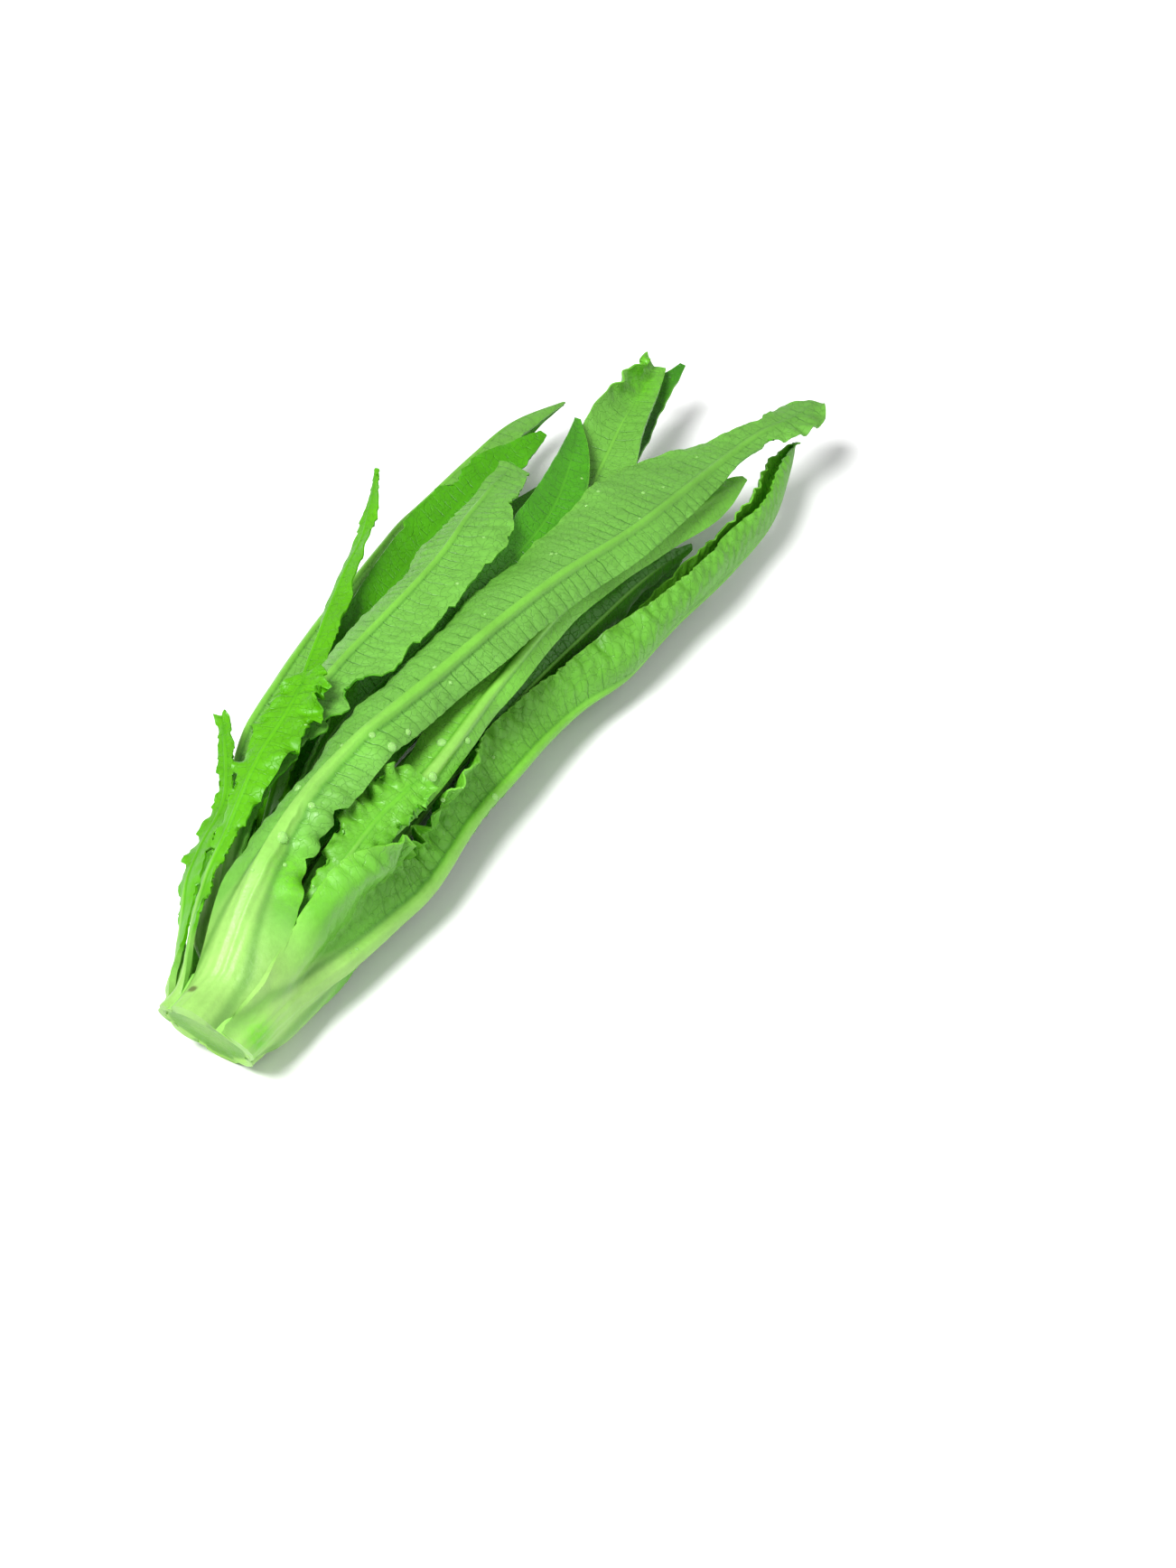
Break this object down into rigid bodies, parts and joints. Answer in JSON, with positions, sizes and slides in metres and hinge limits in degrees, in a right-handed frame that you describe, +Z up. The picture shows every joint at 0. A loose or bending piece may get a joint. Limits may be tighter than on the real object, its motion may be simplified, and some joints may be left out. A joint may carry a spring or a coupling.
{
  "type": "green leaf lettuce",
  "caption": "Head of green leaf lettuce lying on its side: a pale cut stump and long pointed ribbed leaves, some folded, ruffled or torn at the edge.",
  "frame": {"origin": "centre of the bounding box in plan, at the level of the surface that the head lies on", "axes": "+X from the cut stump to the leaf tips, +Z up, -Y the side that the picture shows"},
  "size_m": [0.3094, 0.0968, 0.0554],
  "materials": {
    "stump": "satin, waxy leaf skin",
    "leaf_light": "satin, waxy leaf skin",
    "leaf_mid": "satin, waxy leaf skin",
    "leaf_bright": "satin, waxy leaf skin",
    "leaf_deep": "satin, waxy leaf skin"
  },
  "bodies": {
    "root": {"stem": "stump", "heart_leaf_upper": "leaf_deep", "heart_leaf_lower": "leaf_deep", "rolled_leaf": "leaf_mid", "inner_leaf_far": "leaf_mid", "dark_leaf": "leaf_deep", "band_leaf": "leaf_light", "curly_leaf": "leaf_bright", "under_leaf_mid": "leaf_mid", "notched_leaf": "leaf_bright", "spear_leaf": "leaf_bright", "far_leaf": "leaf_mid", "under_leaf_far": "leaf_mid", "under_leaf_near": "leaf_mid", "crown_leaf": "leaf_mid", "torn_leaf": "leaf_mid", "flap_leaf": "leaf_bright", "ragged_leaf": "leaf_bright", "side_leaf": "leaf_light"}
  },
  "joints": []
}
